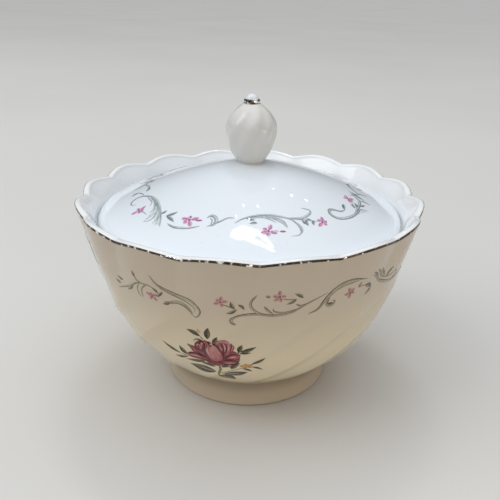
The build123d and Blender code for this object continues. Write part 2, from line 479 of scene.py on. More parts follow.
ledge += [(LEDGE_RADIUS + 2.0, slope_top - 1.9)]
ledge += [(wall_radius(slope_bottom) - BODY_WALL - 0.4, slope_bottom + 0.5)]
# the sugar space and its floor
cavity = [(wall_radius(z) - BODY_WALL, z) for z in np.linspace(slope_bottom - 0.4, CAVITY_BOTTOM, 34)]
floor_corner = curve_through([cavity[-1], (31.0, 13.6), (29.4, 13.0), (27.0, FLOOR_HEIGHT)], 9)[1:]
floor_inside = [(r, FLOOR_HEIGHT) for r in (22.0, 16.0, 10.0, 4.0)]
for r, z in [*ledge, *cavity, *floor_corner, *floor_inside]:
    add_ring(ring(r, z, seat_angle))

vertices, faces = stack(bowl_rings)
shade = np.concatenate([np.repeat(outside, len(column_u)), [0.6, 0.0]])
bowl = add_object("bowl_body_glazed", vertices, faces, "bowl", [bowl_porcelain], {"outside": shade})
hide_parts("bowl_body")


# ---- Platinum line, brushed along the lip's outer edge ----
def lifted(rings, sideways, upwards):
    """Rings moved outward and up by a small step."""
    moved = []
    for points in rings:
        away = points * (1, 1, 0)
        away /= np.linalg.norm(away, axis=1, keepdims=True)
        moved.append(points + away * sideways + (0, 0, upwards))
    return moved


line_wander = 0.08 * np.sin(np.radians(column_angle * 7)) + 0.06 * np.sin(np.radians(column_angle * 19 + 40))
band_under = [outer_ring(lip_shoulder - (0.13 + line_wander) * (1 - k / 3)) for k in range(3)]
band_under += [lip_ring(share) for share in (0.0, 0.045, 0.09, 0.135, 0.18)]
band_over = lifted(band_under, 0.05, 0.0)
band_over[-1][:, 2] += 0.04
band_over[-2][:, 2] += 0.04
band_rings = band_over + lifted(band_under, -0.05, -0.03)[::-1]
vertices, faces = stack(band_rings, closed=True)
band = add_object("rim_platinum_line", vertices, faces, "bowl", [line_platinum])
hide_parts("rim_band")


# ---- Foot ring ----
ROUND = np.arange(256) * 360 / 256
foot_inner = FOOT_RADIUS - FOOT_WIDTH
foot_profile = [(foot_inner - 1.6, FOOT_HEIGHT + 0.5), (foot_inner - 1.6, FOOT_HEIGHT + 0.05)]
foot_profile += arc((foot_inner - 1.6, FOOT_HEIGHT - 1.6), 1.6, 84, 4, 7)
foot_profile += [(foot_inner + 0.2, 5.0), (foot_inner + 0.45, 2.4)]
foot_profile += [(foot_inner + 0.6, 1.0), (foot_inner + 0.75, 0.45), (foot_inner + 1.1, 0.1)]
bare_start = len(foot_profile)
foot_profile += [(foot_inner + 1.5, 0.0), (FOOT_RADIUS - 1.3, 0.0)]
bare_end = len(foot_profile)
foot_profile += [(FOOT_RADIUS - 0.8, 0.08), (FOOT_RADIUS - 0.35, 0.3), (FOOT_RADIUS - 0.08, 0.65)]
foot_profile += [(FOOT_RADIUS, 1.1)]
for z in np.linspace(1.8, FOOT_HEIGHT - 0.2, 12):
    waist = FOOT_WAIST * math.sin(math.pi * (z - 1) / (FOOT_HEIGHT - 1) * 0.62)
    foot_profile.append((FOOT_RADIUS - waist, z))
foot_profile += [(FOOT_RADIUS - 0.7, FOOT_HEIGHT + 0.1), (FOOT_RADIUS - 1.6, FOOT_HEIGHT + 0.5)]
vertices, faces = stack(revolved(foot_profile, ROUND), closed=True)
# the foot takes the outer wall's tint, with the painted shade at its crease
foot = add_object("foot_ring_glazed", vertices, faces, "bowl", [bowl_porcelain, bisque],
                  {"outside": np.ones(len(vertices))})
for polygon in foot.data.polygons:
    row = polygon.vertices[0] // len(ROUND)
    if bare_start - 1 <= row < bare_end:
        polygon.material_index = 1
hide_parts("foot_ring")


# ---- Lid ----
def dome_height(r):
    """Height of the top of the lid at a radius."""
    edge = SEAT_HEIGHT + LID_EDGE
    share = np.clip((r - BOSS_RADIUS) / (LID_RADIUS - BOSS_RADIUS), 0.0, 1.0)
    return DOME_TOP + (edge - DOME_TOP) * share + 4 * DOME_CROWN * share * (1 - share)


ROLL_WIDTH = 2.8           # the lid's edge rolls over to vertical in this width
ROLL_END = 0.7             # height of the lowest point of the roll above the seat
lid_profile = [(r, DOME_TOP) for r in (1.5, 3.5)]
lid_profile += [(r, dome_height(r)) for r in np.linspace(BOSS_RADIUS, LID_RADIUS - ROLL_WIDTH, 60)]
roll_start = np.array(lid_profile[-1])
roll_corner = np.array([LID_RADIUS, dome_height(LID_RADIUS) + 0.25])
roll_end = np.array([LID_RADIUS, SEAT_HEIGHT + ROLL_END])
for t in np.linspace(0, 1, 15)[1:]:
    lid_profile.append((1 - t) ** 2 * roll_start + 2 * t * (1 - t) * roll_corner + t * t * roll_end)
lid_profile += [(LID_RADIUS - 0.15, SEAT_HEIGHT + 0.25), (LID_RADIUS - 0.5, SEAT_HEIGHT)]
lid_profile += [(SEAT_MIDDLE, SEAT_HEIGHT), (FLANGE_INNER + 1.2, SEAT_HEIGHT + 0.02)]
hollow = []
for r in np.linspace(FLANGE_INNER + 0.3, BOSS_RADIUS, 34):
    share = (r - BOSS_RADIUS) / (FLANGE_INNER - BOSS_RADIUS)
    top = DOME_TOP - LID_THICKNESS
    bottom = SEAT_HEIGHT + 1.8
    hollow.append((r, top + (bottom - top) * share + 4 * DOME_CROWN * share * (1 - share)))
lid_profile += hollow + [(2.5, DOME_TOP - LID_THICKNESS)]
vertices, faces = stack(revolved(lid_profile, ROUND))
faces = [face[::-1] for face in faces]
lid = add_object("lid_dome_glazed", vertices, faces, "lid", [lid_porcelain])
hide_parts("lid_dome")

flange_foot = SEAT_HEIGHT - FLANGE_DEPTH
flange_profile = [(FLANGE_OUTER, z) for z in (SEAT_HEIGHT + 0.3, SEAT_HEIGHT - 1, flange_foot + 2)]
flange_profile += arc((FLANGE_OUTER - 0.9, flange_foot + 0.9), 0.9, 0, -90, 7)
flange_profile += arc((FLANGE_INNER + 0.9, flange_foot + 0.9), 0.9, -90, -180, 7)
flange_profile += [(FLANGE_INNER, flange_foot + 2), (FLANGE_INNER, SEAT_HEIGHT)]
flange_profile += [(FLANGE_INNER - 0.4, SEAT_HEIGHT + 1.2), (FLANGE_INNER - 1.1, SEAT_HEIGHT + 2.4)]
vertices, faces = stack(revolved(flange_profile, ROUND), closed=True)
faces = [face[::-1] for face in faces]
flange = add_object("lid_flange_glazed", vertices, faces, "lid", [lid_porcelain])
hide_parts("lid_flange")


# ---- Bud finial with twisted facets ----
BUD_COLUMNS = BUD_FACETS * 16
bud_turns = np.arange(BUD_COLUMNS) * 360 / BUD_COLUMNS
facet_wave = np.cos(np.radians(bud_turns * BUD_FACETS))
bud_outline = curve_through([
    (4.2, 77.4), (5.0, 78.5), (6.1, 80.0), (7.1, 82.3), (7.72, 84.7), (8.07, 87.0), (8.14, 89.0),
    (7.75, 90.5), (7.1, 91.8), (6.1, 93.2), (4.8, 94.6), (3.6, 95.6), (2.9, BUD_TOP)], 60)
bud_rings = [ring(r, z, bud_turns) for r, z in [(5.3, 76.6), (4.8, 76.95), (4.4, 77.15)]]
for r, z in bud_outline:
    part_way = (z - DOME_TOP) / (BUD_TOP - DOME_TOP)
    depth = FACET_DEPTH * math.sin(math.pi * part_way) ** 0.7
    bud_rings.append(ring(r + depth * facet_wave, z, bud_turns + FACET_TWIST * part_way))
bud_rings += [ring(1.5, BUD_TOP + 0.05, bud_turns + FACET_TWIST)]
vertices, faces = stack(bud_rings)
bud = add_object("finial_bud_glazed", vertices, faces, "lid", [finial_porcelain])
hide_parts("finial_bud")

SMALL_ROUND = np.arange(64) * 360 / 64
bead_middle = BEAD_TOP - BEAD_RADIUS
bead_profile = [(1.0, BUD_TOP), (1.9, BUD_TOP + 0.1)] + arc((0, bead_middle), BEAD_RADIUS, -16, 84, 22)
vertices, faces = stack(revolved(bead_profile, SMALL_ROUND))
bead = add_object("finial_bead_glazed", vertices, faces, "lid", [lid_porcelain])
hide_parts("finial_bead")

tube = 0.42                # how thick the band is from side to side
band_swell = 0.07 * np.cos(np.radians(SMALL_ROUND * BUD_FACETS))
band_middle = BUD_TOP + BEAD_BAND_HALF
bead_band_rings = []
for turn in np.radians(np.arange(0, 360, 22.5)):
    radius = BEAD_BAND_RADIUS - tube - 0.07 + (tube + band_swell) * math.cos(turn)
    bead_band_rings.append(ring(radius, band_middle + BEAD_BAND_HALF * math.sin(turn), SMALL_ROUND))
vertices, faces = stack(bead_band_rings, closed=True)
bead_band = add_object("bead_platinum_ring", vertices, faces, "lid", [bead_platinum])
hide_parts("bead_band")


# ---- Printed decoration: thin transfers that follow the glaze ----
heights = np.linspace(FOOT_HEIGHT, LIP_HEIGHT, 400)
wall_slope = np.gradient(wall_radius(heights), heights)
up_the_wall = np.concatenate([[0], np.cumsum(np.hypot(1, wall_slope[1:]) * np.diff(heights))])
BAND_LINE = 52.0           # height of the middle of the scroll border
BAND_RADIUS = 54.0
ROSE_LINE = 32.6           # height of the middle of the rose spray


def on_wall(turn, z):
    """Point on the fluted outer wall at angles in degrees and heights."""
    u = ((turn - NOTCH_ANGLE - swirl(z)) * FLUTES / 360) % 1.0
    r = wall_radius(z) + flute_offset(u, z)
    return np.stack([r * np.cos(np.radians(turn)), r * np.sin(np.radians(turn)), z], axis=-1)


def wall_place(middle, line, radius=None):
    """Lays out a print on the wall: x runs round the bowl from an angle, y up the wall from a height."""
    start = np.interp(line, heights, up_the_wall)

    def place(x, y):
        z = np.interp(start + y, up_the_wall, heights)
        return on_wall(middle + np.degrees(x / (radius or wall_radius(z))), z)
    return place


def lid_place(middle):
    """Lays out the lid's border: x is degrees round the lid from an angle, y the distance from the axis."""
    def place(x, y):
        turn = np.radians(middle + x)
        return np.stack([y * np.cos(turn), y * np.sin(turn), dome_height(y)], axis=-1)
    return place


class Transfer:
    """
    A set of thin printed patches that becomes one mesh. The scale is the millimetres in one unit of the
    layout's x and y. Flipped layouts have their normals inward.
    """

    def __init__(self, scale=(1.0, 1.0), flipped=False):
        self.scale = np.array(scale)
        self.flipped = flipped
        self.points = []
        self.faces = []
        self.tones = []
        self.count = 0

    def patch(self, place, grid, tone, layer=0):
        """Adds a grid of layout points as a thin closed sheet."""
        tiny = 0.01
        x = grid[..., 0]
        y = grid[..., 1]
        here = place(x, y)
        right = place(x + tiny, y) - here
        above = place(x, y + tiny) - here
        normal = np.cross(right, above)
        normal /= np.linalg.norm(normal, axis=-1, keepdims=True)
        if self.flipped:
            normal = -normal
        top = here + normal * (0.035 + 0.007 * layer)
        under = here - normal * 0.03
        size = x.size
        index = np.arange(size).reshape(x.shape) + self.count
        quads = np.stack([index[:-1, :-1], index[:-1, 1:], index[1:, 1:], index[1:, :-1]], axis=-1)
        quads = np.stack([quads, quads[..., ::-1] + size], axis=2).reshape(-1, 4)
        border = np.concatenate([index[0, :-1], index[:-1, -1], index[-1, :0:-1], index[:0:-1, 0]])
        after = np.roll(border, -1)
        quads = np.vstack([quads, np.column_stack([after, border, border + size, after + size])])
        i, j = np.array(x.shape) // 2
        facing = np.cross(top[i, j + 1] - top[i, j], top[i + 1, j + 1] - top[i, j])
        if np.dot(facing, normal[i, j]) < 0:
            quads = quads[:, ::-1]
        self.points += [top.reshape(-1, 3), under.reshape(-1, 3)]
        self.tones += [tone.ravel(), tone.ravel()]
        self.faces += quads.tolist()
        self.count += 2 * size

    def between(self, place, root, edge_a, edge_b, tip, tone, ends=(0.0, 0.0), rim=0.3, layer=0):
        """A patch from root to tip between two edges. Rim darkens both edges."""
        rows = 24
        a = curve_through([root, *edge_a, tip], rows)
        b = curve_through([root, *edge_b, tip], rows)
        across = np.linspace(0, 1, 9)
        grid = a[:, None] * (1 - across[:, None]) + b[:, None] * across[:, None]
        along = np.linspace(0, 1, rows)[:, None]
        shading = tone[0] + (tone[1] - tone[0]) * across
        shading = shading + ends[0] * (1 - along) ** 2 + ends[1] * along ** 2
        self.patch(place, grid, shading + rim * np.abs(2 * across - 1) ** 5, layer)

    def stroke(self, place, points, width, tone=0.55, layer=0):
        """A brush stroke that swells between its ends, pale along its middle and dark along one side."""
        route = np.asarray(points, float) * self.scale
        length = np.sum(np.linalg.norm(np.diff(route, axis=0), axis=1))
        rows = max(8, int(length / 0.45))
        line = curve_through(route, rows)
        direction = np.gradient(line, axis=0)
        direction /= np.linalg.norm(direction, axis=1, keepdims=True) + 1e-9
        side = np.column_stack([-direction[:, 1], direction[:, 0]])
        along = np.linspace(0, 1, rows)
        half = 0.5 * width * np.maximum(np.sin(math.pi * along ** 0.8) ** 0.7, 0.06)
        across = np.linspace(-1, 1, 5)
        grid = line[:, None] + side[:, None] * (half[:, None] * across)[..., None]
        profile = np.array([0.05, -0.3, -0.3, 0.1, 0.45]) * min(max((width - 0.3) / 0.5, 0.0), 1.0)
        self.patch(place, grid / self.scale, tone + profile + 0.1 * np.sin(along * 9)[:, None], layer)

    def leaf(self, place, root, tip, width, bend=0.0, tone=(0.35, 0.8), power=1.0, layer=0):
        """A pointed leaf or petal. A low power makes it rounder, and bend bows its middle line."""
        root = np.asarray(root, float) * self.scale
        tip = np.asarray(tip, float) * self.scale
        along = np.linspace(0, 1, 15)
        axis = tip - root
        normal = np.array([-axis[1], axis[0]]) / np.linalg.norm(axis)
        line = root + along[:, None] * axis + (bend * 4 * along * (1 - along))[:, None] * normal
        half = 0.5 * width * np.maximum(np.sin(math.pi * along ** 0.85), 0.0) ** power + 0.02
        across = np.linspace(-1, 1, 7)
        grid = line[:, None] + normal * (half[:, None] * across)[..., None]
        rim = np.abs(across)
        shading = np.where(across < 0, tone[0], tone[1]) + 0.25 * (1 - rim) ** 4 + 0.2 * rim ** 3
        self.patch(place, grid / self.scale, shading + 0.15 * (0.5 - along[:, None]), layer)

    def build(self, name, body, material):
        obj = add_object(name, np.concatenate(self.points), self.faces, body, [material],
                         {"tone": np.clip(np.concatenate(self.tones), 0, 1)})
        obj.data.set_sharp_from_angle(angle=math.radians(50))


def blossom(ink, place, centre, size, turn):
    """A small flower of five round petals with a dark eye."""
    def petal(angle, start, end, width, **look):
        """A petal that points away from the middle, in sizes of the flower."""
        angle = math.radians(angle)
        heading = np.array([math.cos(angle), math.sin(angle)]) / ink.scale
        ink.leaf(place, centre + start * size * heading, centre + end * size * heading, width * size, **look)

    for k in range(5):
        reach = 1.65 + 0.35 * math.sin(3 * k + turn)
        petal(turn + 72 * k + 14 * math.sin(5 * k + turn), 0.4, reach, 0.9, tone=(0.1, 0.4), power=0.55,
              layer=k % 2)
    for k in range(3):
        petal(turn + 40 + 120 * k, -0.1, 0.42, 0.34, tone=(0.85, 1.0), power=0.6, layer=2)


# One repeat of the bowl's border, drawn on the wall in millimetres
BORDER_STROKES = [
    # the long S of the left scroll with its curl, and the line beside it
    ([(-27.5, 6.5), (-25.5, 3.4), (-21, 1.4), (-16, 0.2), (-13.5, -3), (-14.8, -5.7), (-16.6, -4.6)], 1),
    ([(-25, 2.4), (-21, 0.7), (-17.5, -0.4), (-15, -2.4), (-15.2, -4.2)], 0.45),
    # the branch under it
    ([(-15.8, -4.7), (-16.8, -3.1), (-18.4, -1.7), (-20.8, -1.5), (-24.3, -3)], 1.25),
    # stems to the left
    ([(-33.2, 5.2), (-32.8, 3.3), (-31, 2.5), (-28.5, 2.4), (-26.2, 1.4)], 0.5),
    ([(-30.5, 2.5), (-33, 1.9), (-37.5, -1), (-44, -4)], 0.65),
    ([(-29.3, 2.3), (-31, 1), (-32, -0.8), (-32, -3)], 0.5),
    ([(-32, 2), (-33.4, 0), (-33.5, -2), (-32.8, -3)], 0.4),
    # stem of the second flower
    ([(-6.8, 0.5), (-5.6, -0.1), (-3.8, -1), (-2.8, -1.6)], 0.35),
    # the middle scroll
    ([(-3.8, -6.6), (-4.7, -5.4), (-2.6, -3.6), (2.5, -2.8), (7, -3.5), (12, -2.7), (16.5, 0),
      (22.5, 2.4)], 0.95),
    ([(-3.2, -6.9), (-4.4, -6.3), (-4.6, -5), (-2.9, -3.8)], 1),
    ([(2.4, 3.8), (0.8, 1.4), (1, -0.6), (3, -2.4), (6.7, -3.4)], 0.8),
    ([(4.4, 0), (5.6, -1.7), (7.4, -3.2)], 0.8),
    ([(6.8, -0.6), (7.4, -2), (10.2, -2.5), (13.8, -1.4)], 0.7),
    ([(13, 0.4), (14.4, -0.4), (16.2, 0.1)], 0.6),
    ([(9.2, 2.6), (11, 2.3), (13, 2.3)], 0.35),
    # the right scroll
    ([(17.4, -4), (20.2, -2.8), (22.2, 0.4), (24.2, 2.9), (27, 5), (30.5, 5.5), (35, 4.4)], 1.05),
    ([(23, 0.6), (25, 2.9), (28, 4.2), (32.2, 4.9)], 0.55),
    ([(23.3, 1), (22.7, -1.4), (23.8, -2.6), (25, -2.1), (25.2, -0.8), (24.2, -0.6)], 0.9),
    ([(32.2, 2), (33.8, 2.3), (35.4, 1.9)], 0.3),
    # the sweep that leads to the next repeat
    ([(37.4, 4.9), (40, 3), (42.4, 1), (46.4, -0.8), (50.5, -1.8), (54, -1.4), (58, -0.2)], 1.1),
    ([(40.6, 4.6), (43.4, 2), (47, 0.8), (51, 1.4)], 0.6),
    ([(50.6, 2), (52.2, 0.6), (51.6, -0.8), (50.2, -0.6)], 0.6),
]
BORDER_LEAVES = [
    # root, tip, width, bow
    ((-22.6, -2), (-25, -3.2), 1.3, 0.1), ((-35, 0.6), (-38.6, -2.6), 0.9, 0.3),
    ((-33.2, 4), (-33.6, 6.1), 1.1, 0), ((-27.4, 1.8), (-25.9, 0.2), 0.9, 0.2),
    ((-24.3, 1.1), (-26.1, -1.1), 0.9, -0.2), ((-40, 0.2), (-42.8, 0.8), 0.9, 0.2),
    ((-41.8, -1.6), (-44, -0.8), 0.8, 0.2), ((-3.6, -1), (-4.7, 1.6), 1.1, 0.2),
    ((-3.1, -1.4), (-6, -2.9), 1, 0.2), ((-2.6, 0.5), (-0.9, -1.4), 0.9, 0.2),
    ((13, 2.3), (10.4, 0.6), 1, 0.2), ((14.9, 2.4), (12.2, 4.3), 1, -0.2),
    ((22.9, -1.6), (25.2, -1.7), 1.2, -0.2), ((35, 2.1), (38.4, 0.2), 1.6, 0.3),
    ((38.3, 0.4), (36.5, -2.1), 1.1, 0.2), ((37.6, 5.8), (41.4, 2.6), 0.8, 0.1),
    ((39.6, 6), (43.4, 2.4), 0.8, 0.1), ((42.2, 5.4), (44.8, 1.6), 0.9, 0.1),
    ((46, 1.2), (48.6, 3.8), 1, 0.2),
]
BORDER_BLOSSOMS = [
    # middle, size, turn
    ((-28.3, -1.4), 1.1, 20), ((-7.3, 1.2), 1.15, 70), ((8.3, 3.4), 1.2, 10), ((29.7, 0.8), 1.2, 50),
]
BORDER_BUDS = [((5.9, 3.4), (4.6, 3.5)), ((32.4, 2.2), (33.0, 3.8)), ((-26.8, -0.9), (-25.9, -0.5))]

bowl_scrolls = Transfer()
bowl_blossoms = Transfer()
for repeat in range(3):
    wall_layout = wall_place(-90 + 120 * repeat, BAND_LINE, BAND_RADIUS)
    for k, (route, width) in enumerate(BORDER_STROKES):
        bowl_scrolls.stroke(wall_layout, route, width, layer=k % 4)
    for root, tip, width, bow in BORDER_LEAVES:
        bowl_scrolls.leaf(wall_layout, root, tip, width, bow, layer=4)
    for centre, size, turn in BORDER_BLOSSOMS:
        blossom(bowl_blossoms, wall_layout, centre, size, turn)
    for root, tip in BORDER_BUDS:
        bowl_blossoms.leaf(wall_layout, root, tip, 0.9, tone=(0.3, 0.6), power=0.6)
bowl_scrolls.build("bowl_scroll_border", "bowl", wall_scroll_print)
bowl_blossoms.build("bowl_border_blossoms", "bowl", wall_blossom_print)

# The rose spray, drawn on the wall in millimetres
ROSE_PETALS = [
    # root, edge, other edge, tip, tone at each edge, tone added at root and tip; back petals first
    ((-2.8, -4.2), [(-5, -0.4), (-4.8, 4.4), (-2.6, 5.4), (1.2, 5.4)],
     [(0, -5.2), (4.4, -4), (6.4, -1), (5.6, 2)], (4.4, 4.8), (0.92, 0.92), (0, 0)),
    ((-4, -1.9), [(-5.4, -1.8), (-6.9, 0.6)], [(-4.2, 0.8), (-5.6, 2.2)], (-8, 2.4), (0.25, 0.6),
     (0.35, -0.1)),
    ((-1.8, -4.4), [(-4.6, -4.6), (-7.4, -4)], [(-3.8, -1.8), (-6.4, -0.9)], (-8.6, -2.6), (0.15, 0.65),
     (0.3, -0.1)),
    ((-3.2, -4.4), [(-1.2, -6.4), (2.2, -6.1)], [(-0.5, -4), (2.6, -3.6)], (5.4, -4.2), (0.12, 0.62),
     (0.15, 0.15)),
    ((2, -3.2), [(3.2, 0.2), (5.6, 1.8)], [(4.6, -2.6), (7, -2.2)], (7.9, 0.4), (0.55, 0.3), (0.3, -0.1)),
    ((1.2, -3.4), [(3.4, -2.4), (5.2, -2)], [(2.8, -4.9), (4.8, -4.9)], (6.4, -2.6), (0.6, 0.25),
     (0.3, -0.05)),
    ((2.3, -1.4), [(1.6, 1.6), (0.8, 4.2)], [(3.2, 1.4), (3.6, 4.4)], (2, 6), (0.6, 0.3), (0.3, -0.1)),
    ((2.4, -1.6), [(3, 1.6), (3.2, 4.4)], [(4.9, 0.8), (6.3, 3.6)], (4.8, 5.3), (0.4, 0.12), (0.35, -0.1)),
    ((0.9, 4), [(1.6, 4.9), (3.4, 4.9)], [(1.5, 6.1), (4, 6.6)], (5.5, 4.2), (0.35, 0.1), (0.1, 0)),
    ((-1.6, -3.4), [(-4.2, -0.8), (-5.4, 2.6)], [(-2.6, -0.6), (-3.6, 2.6)], (-3.8, 5.6), (0.4, 0.75),
     (0.25, -0.05)),
    ((-1.9, -2.6), [(-3.8, 1), (-4, 3.8)], [(-0.4, 0.6), (-0.4, 3.8)], (-2.2, 5.9), (0.7, 0.5),
     (0.2, -0.1)),
    ((-3.6, 1), [(-4.2, 2.8), (-3.4, 4.6)], [(-3.1, 2.8), (-2.9, 3.9)], (-2, 4.9), (0.25, 0.1), (0.2, 0)),
    ((-3, 0.9), [(-1.6, 1.4), (-0.9, 2.9)], [(-2.2, 2), (-1.7, 3)], (-1.6, 4.6), (0.15, 0.45), (0.2, 0)),
    ((-2.9, 1.9), [(-3.2, 2.8), (-2.6, 3.7)], [(-2.2, 2.2), (-1.8, 2.9)], (-1.9, 3.8), (0.15, 0.3), (0, 0)),
    ((0.1, -4.3), [(-2.7, -2.9), (-1.9, 1.6)], [(2.7, -2.6), (2.6, 1.8)], (0.2, 4.4), (0.1, 0.2), (0.3, 0)),
]
ROSE_LINES = [
    # brush lines on the petals: route, width and tone
    ([(-2, 5), (-2.8, 2.3), (-2.8, -1), (-1.5, -3.7), (0.6, -4.8), (2.2, -4)], 0.75, 1),
    ([(-5.8, 4.6), (-4.7, 5.6), (-3, 5.2), (-2.3, 3.2), (-3.3, 1.3), (-5, 1.7), (-5.3, 3.4), (-4.4, 4.4),
      (-3.5, 3.7), (-3.8, 2.7)], 0.45, 0.95),
    ([(-8, 2.6), (-6.6, 1.4), (-5.6, 0), (-4.2, -1.6)], 0.4, 0.9),
    ([(-8.4, -2), (-6.8, -1), (-4.9, -1.6), (-3.3, -3)], 0.55, 0.95),
    ([(-8, -3), (-6.1, -3.8), (-3.3, -4.6), (-1, -5.6), (2, -5.9)], 0.45, 0.85),
    ([(0.7, 4.4), (1.7, 2.3), (2.6, -0.6), (2.6, -2.8)], 0.8, 1),
    ([(2.2, 5.6), (2.9, 3.6), (3, 1.2), (2.8, -1)], 0.5, 0.95),
    ([(3.8, 5), (4, 2.6), (3.4, 0.4)], 0.4, 0.85),
    ([(5.6, 5.4), (5.2, 3), (4.6, 0.6)], 0.4, 0.85),
    ([(3, -2.4), (4.3, -0.6), (6, 0.4), (7.6, 0)], 0.6, 0.95),
    ([(2.6, -3.4), (4.4, -2.8), (6.6, -3), (7.6, -1.6)], 0.55, 0.95),
    ([(7.4, -2.2), (5.8, -4.4), (3.4, -5.2), (1.3, -4.9)], 0.45, 0.85),
    ([(-1.4, 3.2), (-1.9, 0.8), (-1.4, -2)], 0.7, 0.05),
    ([(1.9, 3.9), (2.3, 2), (2.4, 0.4)], 0.35, 0.1),
    ([(3.2, 5.2), (3.5, 3.2), (3.2, 1.2)], 0.5, 0.05),
    ([(4.7, 5), (4.6, 3.2), (4, 1.2)], 0.5, 0.1),
    ([(4.4, -1.4), (5.8, -0.8), (7, -1)], 0.6, 0.05),
    ([(2.8, -4.4), (4.4, -4), (6, -3.7)], 0.5, 0.1),
    ([(-7.6, -2.2), (-5.8, -2.3), (-4, -3.6)], 0.7, 0.05),
    ([(-7.2, 2.2), (-6, 1), (-4.9, -0.6)], 0.5, 0.15),
    ([(-4.9, 2.7), (-4.4, 3.6), (-3.9, 3.3)], 0.35, 0.1),
]
SPRAY_LEAVES = [
    # root, tip, width, bow
    ((-3.5, 7), (-7.6, 8.8), 1.6, -0.3), ((-1.3, 6.4), (-0.8, 11), 1.9, 0.2),
    ((0.1, 5), (1.6, 7.9), 1.4, -0.2), ((-11, -3.2), (-17.4, -0.2), 1.3, 0.4),
    ((-8.4, -2.8), (-11, 0.6), 1.7, 0.3), ((-8.6, -4), (-13.2, -5.4), 1.2, 0.3),
    ((-3.4, -5.2), (-9.6, -6), 1.8, 0.4), ((-0.6, -11), (-9, -9.2), 5, 0.6),
    ((-0.4, -14), (4.6, -17.6), 4.4, 0.4), ((1.4, -12.4), (9, -10.2), 3.6, -0.4),
    ((-0.4, -7.6), (-5.6, -6.2), 1.3, -0.2), ((1.4, -7.2), (4.4, -6), 1.1, 0.2),
    ((4.4, -7.6), (7.4, -3.5), 1.7, 0.3), ((7.4, 1.2), (8.6, 4.8), 1.5, 0.2),
    ((7.9, 1.6), (12.6, 4.2), 1.3, -0.2), ((7.6, 1), (11, 1.6), 0.9, -0.1),
    ((10.6, -4.6), (15, -1.2), 1.4, -0.3), ((10.6, -6.4), (13.8, -8.2), 1, 0.2),
    ((7.8, -7.4), (10.4, -9.6), 1.1, 0.2),
]
SPRAY_STEMS = [
    ([(0.6, -5.6), (1, -8.4), (0.2, -11.4), (-0.3, -14.6)], 0.8),
    ([(-6.4, -3.4), (-9, -3.4), (-11.2, -3.2)], 0.35),
    ([(0.2, -11.6), (3.6, -9.4), (7, -7.4), (9.6, -5.4)], 0.3),
    ([(-2.6, 5.8), (-3.6, 7.2)], 0.3),
    ([(6.8, 0.8), (7.8, 1.8)], 0.3),
    ([(9.6, -5.6), (11, -6.6)], 0.3),
    ([(3, -5), (4.6, -7.2)], 0.3),
    ([(-3, -5.4), (-1.4, -6.6), (0.6, -6.8)], 0.4),
]

roses = Transfer()
rose_leaves = Transfer()
ochre = Transfer()
for middle in (-101.5, 78.5):
    wall_layout = wall_place(middle, ROSE_LINE)
    for k, petal in enumerate(ROSE_PETALS):
        roses.between(wall_layout, *petal, rim=0.5, layer=k)
    for k, (route, width, tone) in enumerate(ROSE_LINES):
        roses.stroke(wall_layout, route, width, tone, layer=len(ROSE_PETALS) + k % 3)
    for route, width in SPRAY_STEMS:
        rose_leaves.stroke(wall_layout, route, width, tone=0.65)
    for root, tip, width, bow in SPRAY_LEAVES:
        darkness = 0.2 if width > 3 else 0.0
        rose_leaves.leaf(wall_layout, root, tip, width, bow, tone=(0.5 + darkness, 0.85 + darkness), layer=1)
        if width > 3:
            rib_end = 0.25 * np.array(root) + 0.75 * np.array(tip)
            rose_leaves.stroke(wall_layout, [root, rib_end], 0.5, tone=0.1, layer=2)
    for k in range(5):
        angle = math.radians(20 + 72 * k)
        tip = (9.1 + 2.1 * math.cos(angle), -5.6 + 1.7 * math.sin(angle))
        ochre.leaf(wall_layout, (9.1, -5.6), tip, 1.5, tone=(0.3, 0.8), power=0.6, layer=2 + k)
    ochre.leaf(wall_layout, (-3.4, 8.4), (-4.2, 9.8), 0.9, tone=(0.1, 0.5), power=0.7, layer=1)
roses.build("bowl_roses", "bowl", rose_print)
rose_leaves.build("bowl_rose_leaves", "bowl", leaf_print)
ochre.build("bowl_ochre_flowers", "bowl", ochre_print)

